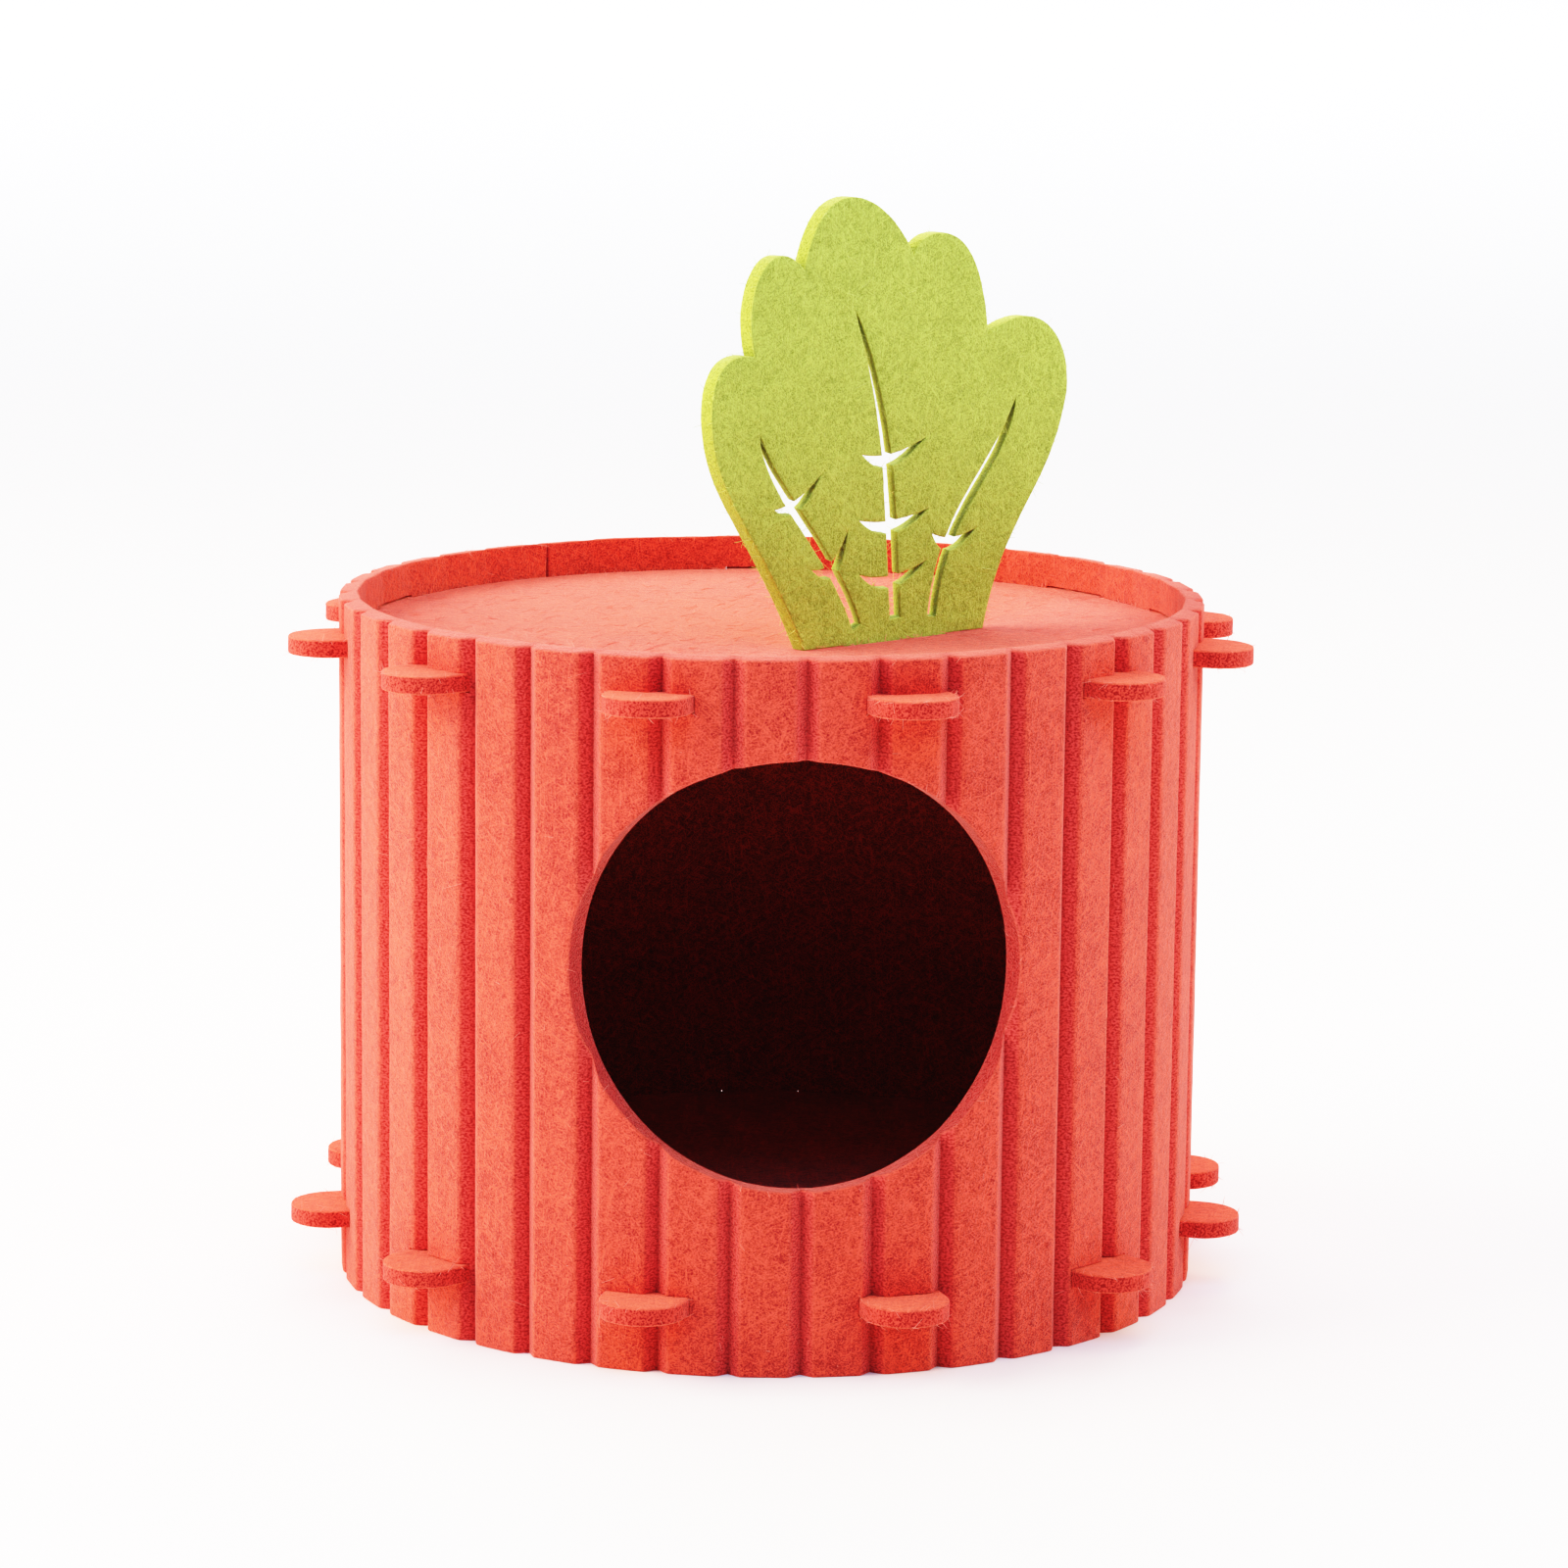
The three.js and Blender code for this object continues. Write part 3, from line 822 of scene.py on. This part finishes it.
def fibre_strokes(tree, place, size, turns, keep):
    """Crossing strokes, from 0 to about 1. Only the peaks of each direction's noise above keep show."""
    slow = {"Vector": place, "Scale": 0.25 / size[0], "Detail": 0.0}
    bend = add(tree, "ShaderNodeTexNoise", FLAT, slow).outputs["Color"]
    shift = add(tree, "ShaderNodeVectorMath", SCALE, {0: bend, "Scale": 0.8 * size[0]}).outputs[0]
    bent = add(tree, "ShaderNodeVectorMath", {"operation": "ADD"}, {0: place, 1: shift}).outputs[0]
    strokes = 0.0
    for i, turn in enumerate(turns):  # each direction reads its own part of the noise
        layer = {"Location": (0.213 * i, 0.107 * i, 0), "Rotation": (0, 0, math.radians(turn)), "Scale": size}
        along = add(tree, "ShaderNodeMapping", TEXTURE, {"Vector": bent, **layer}).outputs[0]
        streak = add(tree, "ShaderNodeTexNoise", FLAT, {"Vector": along, "Scale": 1.0, "Detail": 0.0})
        peak = {"Value": streak.outputs["Fac"], "From Min": keep, "From Max": keep + PEAK_SOFT}
        here = add(tree, "ShaderNodeMapRange", {}, peak).outputs[0]
        strokes = add(tree, "ShaderNodeMath", {"operation": "MAXIMUM"}, {0: here, 1: strokes}).outputs[0]
    return strokes


print(f"{len(FIBRE_TURNS)} directions of fibres")

# %% Draw the felt's patterns
STROKES = {  # length and width, directions in degrees, and the level of the noise that shows
    "short": ((FIBRE_LONG, FIBRE_WIDE, 1), FIBRE_TURNS, 0.65),
    "long": ((14 * MM, 0.6 * MM, 1), (23, 82, 141), 0.7),
    "pits": ((3.4 * MM, 0.9 * MM, 1), (15, 52, 118), 0.66),
}
CLOUDS = {"fine": (0.55 * MM, 2.0), "clump": (2.4 * MM, 1.0), "cloud": (14 * MM, 3.0)}  # size and detail
SMOOTH = {"interpolation_type": "SMOOTHSTEP"}


def felt_patterns(tree, place):
    """The patterns by name, from 0 to about 1. mottle is below 0, as it darkens the whole."""
    pattern = {name: fibre_strokes(tree, place, *strokes) for name, strokes in STROKES.items()}
    for name, (size, detail) in CLOUDS.items():
        noise_links = {"Vector": place, "Scale": 1 / size, "Detail": detail}
        pattern[name] = add(tree, "ShaderNodeTexNoise", {}, noise_links).outputs["Fac"]
    stipple = {"Value": pattern["fine"], "From Min": 0.34, "From Max": 0.62}
    pattern["stipple"] = add(tree, "ShaderNodeMapRange", SMOOTH, stipple).outputs[0]
    mottle = {"Value": pattern["cloud"], "From Min": 0.3, "From Max": 0.7, "To Min": -0.48, "To Max": -0.22}
    pattern["mottle"] = add(tree, "ShaderNodeMapRange", {}, mottle).outputs[0]
    return pattern


print("patterns:", *STROKES, *CLOUDS)

# %% [markdown]
# ## Colour in layers
#
# The felt is dyed in the fibre, so its colour changes with what the fibres do. The shader builds it up from
# below: the mat, the fibres that lie on it, the pits, the cut felt, painted shade in narrow cuts, and a
# painted highlight along the corners.


# %% Colour the felt
COLOURS = {"data_type": "RGBA"}  # a colour mix has its colours at inputs 6 and 7, and its result at output 2
MULTIPLY = {"operation": "MULTIPLY"}
MULTIPLY_ADD = {"operation": "MULTIPLY_ADD"}
ADD_CLAMPED = {"operation": "ADD", "use_clamp": True}
STIPPLE_SHARE = 0.6
SHARES = {"short": 0.45, "long": 0.38, "clump": 0.7}
HIGHLIGHT_SHARE = 0.4


def felt_colour(tree, look, pattern, kept):
    """The felt's colour, and the grain of its faces."""
    grain = add(tree, "ShaderNodeMath", MULTIPLY, {0: pattern["stipple"], 1: STIPPLE_SHARE}).outputs[0]
    for name, share in SHARES.items():
        grain = add(tree, "ShaderNodeMath", MULTIPLY_ADD, {0: pattern[name], 1: share, 2: grain}).outputs[0]
    level = add(tree, "ShaderNodeMath", ADD_CLAMPED, {0: grain, 1: pattern["mottle"]}).outputs[0]
    flecks = add(tree, "ShaderNodeMath", MULTIPLY, {0: pattern["pits"], 1: look["flecks"]}).outputs[0]
    # The last colour is a painted highlight along the corners.
    painted_highlight = add(tree, "ShaderNodeMath", MULTIPLY, {0: kept["arris"], 1: HIGHLIGHT_SHARE}).outputs[0]
    mat, light, cut, cut_light, pit_and_shade, rim = [linear(colour) for colour in look["colours"]]
    ends = add(tree, "ShaderNodeMix", COLOURS, {0: pattern["stipple"], 6: cut, 7: cut_light}).outputs[2]
    # The pits' colour is laid on twice: for the needles' pits, and again as painted shade.
    layers = ((level, light), (flecks, pit_and_shade), (kept["cut"], ends), (kept["painted_shade"], pit_and_shade), (painted_highlight, rim))
    colour = mat
    for share, over in layers:
        colour = add(tree, "ShaderNodeMix", COLOURS, {0: share, 6: colour, 7: over}).outputs[2]
    return colour, grain


print("shares of the grain:", STIPPLE_SHARE, *SHARES.values())


# %% Make the felt
RELIEF = 0.12 * MM
CLUMP_RELIEF = 3.0  # how much more the clumps stand up than the fibres


def needled_felt(name, look):
    """Felt in this look. A high roughness and a wide sheen give the eye dry, dusty fibre with no gloss."""
    material = bpy.data.materials.new(name)
    material.use_nodes = True
    tree = material.node_tree
    shader = tree.nodes["Principled BSDF"]
    kept = {}
    for key, output in (("felt_place", "Vector"), ("cut", "Fac"), ("painted_shade", "Fac"), ("arris", "Fac")):
        kept[key] = add(tree, "ShaderNodeAttribute", {"attribute_name": key}, {}).outputs[output]
    pattern = felt_patterns(tree, kept["felt_place"])
    colour, grain = felt_colour(tree, look, pattern, kept)
    tree.links.new(colour, shader.inputs["Base Color"])

    relief = add(tree, "ShaderNodeMix", {}, {0: kept["cut"], 2: grain, 3: pattern["stipple"]}).outputs[0]
    lumpy = {0: pattern["clump"], 1: CLUMP_RELIEF, 2: relief}
    relief = add(tree, "ShaderNodeMath", MULTIPLY_ADD, lumpy).outputs[0]
    bump = add(tree, "ShaderNodeBump", {}, {"Height": relief, "Strength": 1.0, "Distance": RELIEF})
    tree.links.new(bump.outputs[0], shader.inputs["Normal"])
    shader.inputs["Roughness"].default_value = 0.95
    shader.inputs["Specular IOR Level"].default_value = 0.1
    shader.inputs["Sheen Weight"].default_value = look["sheen"]
    shader.inputs["Sheen Roughness"].default_value = 0.5
    shader.inputs["Sheen Tint"].default_value = look["sheen_tint"]
    print(f"{name}: {len(tree.nodes)} nodes")
    return material


# Deep red between the fibres and light coral on top of them. The strong red sheen is the fibres' nap: it
# pales the drum towards its sides and softens every rib. The colours are those of the mat, the fibres on it,
# the cut felt, its light ends, the pits and painted shade, and a painted highlight along the corners.
CORAL = {
    "colours": ("#9A3231", "#EE5F4C", "#A0302F", "#DC554E", "#701518", "#F0745E"),
    "flecks": 0.18,
    "sheen": 0.84,
    "sheen_tint": (1.0, 0.37, 0.31, 1.0),
}
coral = needled_felt("needled_felt_coral", CORAL)

# %% [markdown]
# ## The tabs' felt and the leaf's
#
# The tabs get a copy of the coral felt with a weaker sheen. Its lighter faces are painted light, and its
# darker cut edges painted shade. The leaf is the same felt in green, from a yellower and a bluer fibre.
# One shader with other values makes both, so that all the felt has the same grain.

# %% Make the tabs' felt, with painted light and shade, and the green felt
# Lighter faces, which are painted light, darker cut edges, which are painted shade, and a weaker sheen.
TABS_PAINTED_LIGHT = {**CORAL, "sheen": 0.5}
TABS_PAINTED_LIGHT["colours"] = ("#B83E36", "#FF6C50", "#902624", "#DE5246", "#701518", "#F0745E")
coral_tabs_painted_light = needled_felt("tab_felt_coral_painted_light", TABS_PAINTED_LIGHT)

# Olive below and yellow green on top, with more dark flecks, so that the leaf looks speckled close by.
GREEN = {
    # The fifth colour serves the pits and the painted shade, and the last is the painted highlight.
    "colours": ("#8A9844", "#B0C460", "#849038", "#AAB44C", "#5C6C20", "#CCD46C"),
    "flecks": 0.24,
    "sheen": 0.4,
    "sheen_tint": (0.9, 1.0, 0.5, 1.0),
}
green = needled_felt("needled_felt_green", GREEN)


# %% Make the loose fibres' materials
def loose_fibre(name, colour, light):
    """Single fibres: thin, half see-through, so paler than the felt they stand in."""
    material = bpy.data.materials.new(name)
    material.use_nodes = True
    tree = material.node_tree
    place = add(tree, "ShaderNodeTexCoord", {}, {}).outputs["Object"]
    change = add(tree, "ShaderNodeTexNoise", {}, {"Vector": place, "Scale": 1 / (3 * MM)}).outputs["Fac"]
    mix = add(tree, "ShaderNodeMix", COLOURS, {0: change, 6: linear(colour), 7: linear(light)})
    shader = tree.nodes["Principled BSDF"]
    tree.links.new(mix.outputs[2], shader.inputs["Base Color"])
    shader.inputs["Roughness"].default_value = 0.8
    shader.inputs["Specular IOR Level"].default_value = 0.2
    print(f"{name}: {len(tree.nodes)} nodes")
    return material


# Pale coral, changing from fibre to fibre: fine light hairs that show against the darker felt.
coral_loose = loose_fibre("loose_fibre_coral", "#E4685A", "#F8A090")
# Pale yellow green, the same along the leaf's edge.
green_loose = loose_fibre("loose_fibre_green", "#A8BC58", "#D8E490")

# %% Give each piece its material
felts = ((wall, coral), (lid, coral), (floor, coral), (leaf, green))
for piece, material in felts + ((coral_fibres, coral_loose), (green_fibres, green_loose)):
    piece.data.materials.clear()
    piece.data.materials.append(material)
# The tabs, outside the wall, get the coral copy with painted light and shade.
for piece in (lid, floor):
    piece.data.materials.append(coral_tabs_painted_light)
    for face in piece.data.polygons:
        face.material_index = int(face.center.xy.length > WALL_INSIDE + 1 * MM)
    painted_light_tabs = sum(face.material_index for face in piece.data.polygons)
    print(f"{piece.name}: {painted_light_tabs} faces of pressed felt")

# %% [markdown]
# ## The stage
#
# A white floor runs far back, with a light over its far part, so that it fades to white behind the object.
# The sky is dim near the horizon and bright overhead, which lights the lid more than the walls.

# %% Lay the floor's paper
bm = bmesh.new()
bmesh.ops.create_grid(bm, x_segments=1, y_segments=1, size=30)
ground = as_object("ground", bm)
paper = bpy.data.materials.new("matt_paper")  # an even, soft white that takes the shadow without any gloss
paper.use_nodes = True
sheet = paper.node_tree.nodes["Principled BSDF"]
sheet.inputs["Base Color"].default_value = linear("#EFEDED")
sheet.inputs["Roughness"].default_value = 0.9
sheet.inputs["Specular IOR Level"].default_value = 0.0
ground.data.materials.append(paper)
print("the floor is", round(ground.dimensions.x), "m across")

# %% Light the sky
SKY_LOW = 0.05  # its strength at the horizon
SKY_HIGH = 1.05  # what straight up adds to that

world = bpy.data.worlds.new("studio")
world.use_nodes = True
sky = world.node_tree
way = add(sky, "ShaderNodeTexCoord", {}, {}).outputs["Generated"]
up = add(sky, "ShaderNodeSeparateXYZ", {}, {0: way}).outputs["Z"]
up = add(sky, "ShaderNodeMath", {"operation": "MAXIMUM"}, {0: up, 1: 0.0}).outputs[0]
steep = add(sky, "ShaderNodeMath", {"operation": "POWER"}, {0: up, 1: 2.0}).outputs[0]
strength = add(sky, "ShaderNodeMath", MULTIPLY_ADD, {0: steep, 1: SKY_HIGH, 2: SKY_LOW}).outputs[0]
sky.links.new(strength, sky.nodes["Background"].inputs["Strength"])
sky.nodes["Background"].inputs["Color"].default_value = (1, 1, 1, 1)
bpy.context.scene.world = world
print("sky from", SKY_LOW, "at the horizon to", SKY_LOW + SKY_HIGH, "overhead")

# %% [markdown]
# ## The lamps
#
# A large softbox on the left is the main light. Weaker ones on the right fill its shadows, a bluish one above
# the front cools the front plates, and one overhead warms the lid. Light straight from the camera would shine
# into the cabin, which is almost black in the photograph.


# %% Set up the softboxes
def softbox(name, place, size, power, colour, towards=(0, 0, 0.12)):
    """A rectangular lamp of this size, in metres, and power, in watts, that faces the point towards."""
    data = bpy.data.lights.new(name, "AREA")
    data.shape = "RECTANGLE"
    data.size, data.size_y = size
    data.energy = power
    data.color = colour
    lamp = bpy.data.objects.new(name, data)
    bpy.context.scene.collection.objects.link(lamp)
    lamp.location = place
    lamp.rotation_euler = (Vector(towards) - Vector(place)).to_track_quat("-Z", "Y").to_euler()
    print(f"{name}: {power} W")


softbox("left_softbox", (-1.7, 0.0, 0.9), (1.9, 1.6), 204, (1.0, 0.9, 0.77))
softbox("right_softbox", (1.7, 0.1, 0.9), (1.2, 1.2), 62, (1.0, 0.86, 0.76))
softbox("right_front_softbox", (1.3, -1.1, 1.3), (1.0, 1.0), 22, (1.0, 1.0, 0.95))
softbox("front_softbox", (0, -1.3, 1.7), (1.4, 0.8), 42, (0.28, 0.54, 1.0))
softbox("top_softbox", (0.2, 0.1, 2.2), (1.0, 1.0), 48, (0.9, 0.7, 0.52))
softbox("backdrop_light", (0, 8, 5), (10, 8), 3800, (0.9, 0.93, 1.0), (0, 8, 0))

# %% [markdown]
# ## The film
#
# A camera's film curve rolls the bright tones off and deepens the dark ones. Blender's Standard view has
# neither, so the curve is set in the view settings: a toe for the dark cabin and a shoulder for the lid.

# %% Set the film curve
FILM_WHITE = 6.0
FILM_TOE = 0.5
FILM_BLACK = 0.0015  # the stray light that reaches every part of a picture
FILM_STEPS = (0.1, 0.25, 0.5, 0.8, 1.2, 1.8, 2.6, 3.6, 4.8)

view = bpy.context.scene.view_settings
view.view_transform = "Standard"
view.use_curve_mapping = True
film = view.curve_mapping
film.white_level = (FILM_WHITE,) * 3
points = film.curves[3].points
points[0].location = (0, FILM_BLACK)
for light in FILM_STEPS:
    points.new(light / FILM_WHITE, 1 - math.exp(-light * light / (light + FILM_TOE)))
film.update()
print("film curve points:", [(round(p.location[0], 3), round(p.location[1], 3)) for p in points])

# %% [markdown]
# ## Hang the pieces on the root
#
# Nothing moves, so every piece rides on the root. The wall is held round by the tabs of both discs, which
# press on the outer edges of its slots. The discs hang in the wall, and the leaf stands in the lid.

pieces = (
    (wall, "wall", "red_felt", (0.766, 0.1985), 0.1374, "stretched", ["lid", "floor"]),
    (lid, "lid", "red_felt", (0.2773, 0.2763), 0.0487, "laid", ["wall"]),
    (floor, "floor", "red_felt", (0.2773, 0.2763), 0.0489, "laid", ["wall"]),
    (leaf, "leaf", "green_felt", (0.1392, 0.132), 0.0113, "laid", ["lid"]),
)
for piece, node, slot, flat_size, area, held, rests_on in pieces:
    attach(piece, "root")
    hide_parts(node)
for fibres, colour in ((coral_fibres, "red_felt"), (green_fibres, "green_felt")):
    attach(fibres, "root")
print(len(pieces), "sheets of felt, and the stray fibres on them")
